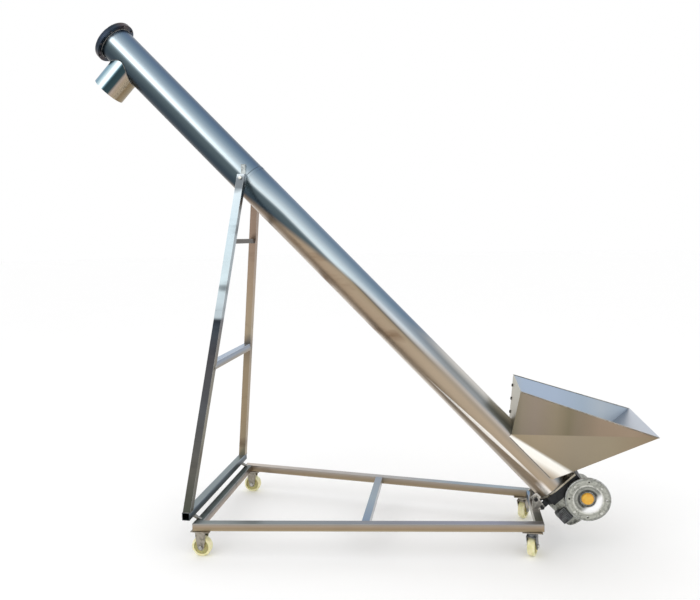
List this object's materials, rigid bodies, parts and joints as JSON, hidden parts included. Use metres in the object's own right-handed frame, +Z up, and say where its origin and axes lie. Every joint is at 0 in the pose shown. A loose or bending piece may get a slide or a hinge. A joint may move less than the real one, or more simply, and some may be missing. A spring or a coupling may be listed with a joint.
{
  "type": "grain auger",
  "caption": "Mobile inclined grain auger: wheeled trapezoid base, A-frame support, round auger tube with feed hopper, discharge spout and worm gear drive.",
  "frame": {"origin": "on the floor, under the middle of the overall length and width", "axes": "+X along the machine towards the feed hopper, +Y across it towards its far side, +Z up"},
  "size_m": [2.92, 0.906, 2.8039],
  "materials": {
    "tube_steel": "satin stainless square tube",
    "tube_shell": "bright satin stainless tube",
    "sheet_steel": "satin stainless sheet",
    "dark_steel": "dark satin flange",
    "zinc": "zinc plated pressing",
    "fastener": "zinc plated fastener",
    "black_fastener": "blackened fastener",
    "wheel_plastic": "cream moulded plastic",
    "plug_plastic": "black plastic",
    "block": "black satin",
    "casting": "sand-textured casting",
    "rib_casting": "dark grey casting",
    "screw_steel": "worn stainless",
    "bronze": "bronze",
    "seal_rubber": "black rubber",
    "bearing": "ground steel",
    "yellow_plastic": "yellow plastic"
  },
  "bodies": {
    "machine": {"base_rail_front": "tube_steel", "base_rail_rear": "tube_steel", "cross_rail_wide": "tube_steel", "cross_rail_mid": "tube_steel", "cross_rail_narrow": "tube_steel", "rail_end_caps": "plug_plastic", "caster_plates": "zinc", "caster_bolts": "fastener", "fork_wide_front": "zinc", "fork_wide_rear": "zinc", "axle_wide_front": "fastener", "axle_wide_rear": "fastener", "support_foot_bar": "tube_steel", "support_foot_tabs": "tube_steel", "support_leg_front": "tube_steel", "support_leg_rear": "tube_steel", "support_mid_bar": "tube_steel", "support_upper_bar": "tube_steel", "ear_front": "tube_shell", "ear_rear": "tube_shell", "ear_bolts": "fastener", "tube_lower": "tube_shell", "tube_upper": "tube_shell", "seam_sleeve": "tube_shell", "discharge_spout": "tube_shell", "top_flange": "dark_steel", "top_cap": "dark_steel", "cap_bolts": "fastener", "top_bearing": "bearing", "hopper": "sheet_steel", "hopper_rivets": "black_fastener", "tube_end_plate": "sheet_steel", "adaptor_block": "block", "shaft_seal": "seal_rubber", "foot_bracket": "sheet_steel", "tube_lug": "sheet_steel", "adaptor_lug": "block", "foot_pins": "black_fastener", "gearbox_housing": "casting", "gearbox_cover": "casting", "cooling_ribs": "rib_casting", "motor_flange": "casting", "spigot_plate": "casting", "flange_screws": "fastener", "worm_bearings": "bearing", "bore_cap": "yellow_plastic", "housing_plug": "black_fastener"},
    "screw": {"screw_shaft": "screw_steel", "flight_inlet": "screw_steel", "flight_middle": "screw_steel", "flight_outlet": "screw_steel", "worm_wheel": "bronze", "drive_key": "screw_steel"},
    "worm": {"worm_shaft": "screw_steel"},
    "roller_wide_front": {"wheel_wide_front": "wheel_plastic"},
    "roller_wide_rear": {"wheel_wide_rear": "wheel_plastic"},
    "caster_narrow_front": {"fork_narrow_front": "zinc", "axle_narrow_front": "fastener"},
    "roller_narrow_front": {"wheel_narrow_front": "wheel_plastic"},
    "caster_narrow_rear": {"fork_narrow_rear": "zinc", "axle_narrow_rear": "fastener"},
    "roller_narrow_rear": {"wheel_narrow_rear": "wheel_plastic"}
  },
  "joints": [
    {"name": "screw_spin", "type": "hinge", "parent": "machine", "child": "screw", "pos_m": [1.00704, 0, 0.296], "axis": [-0.6984, 0, 0.7157], "continuous": true},
    {"name": "worm_spin", "type": "hinge", "parent": "machine", "child": "worm", "pos_m": [1.1701, 0, 0.27209], "axis": [0, 1, 0], "continuous": true},
    {"name": "roll_wide_front", "type": "hinge", "parent": "machine", "child": "roller_wide_front", "pos_m": [-0.77896, -0.41721, 0.052], "axis": [0, 1, 0], "continuous": true},
    {"name": "roll_wide_rear", "type": "hinge", "parent": "machine", "child": "roller_wide_rear", "pos_m": [-0.77896, 0.41721, 0.052], "axis": [0, 1, 0], "continuous": true},
    {"name": "swivel_narrow_front", "type": "hinge", "parent": "machine", "child": "caster_narrow_front", "pos_m": [0.88604, -0.21794, 0.126], "axis": [0, 0, 1], "continuous": true},
    {"name": "roll_narrow_front", "type": "hinge", "parent": "caster_narrow_front", "child": "roller_narrow_front", "pos_m": [0.89219, -0.20103, 0.052], "axis": [0.9397, -0.342, 0], "continuous": true},
    {"name": "swivel_narrow_rear", "type": "hinge", "parent": "machine", "child": "caster_narrow_rear", "pos_m": [0.88604, 0.21794, 0.126], "axis": [0, 0, 1], "continuous": true},
    {"name": "roll_narrow_rear", "type": "hinge", "parent": "caster_narrow_rear", "child": "roller_narrow_rear", "pos_m": [0.89365, 0.23425, 0.052], "axis": [0.9063, -0.4226, 0], "continuous": true}
  ],
  "couplings": [
    {"joint": "worm_spin", "follows": "screw_spin", "ratio": -10}
  ]
}
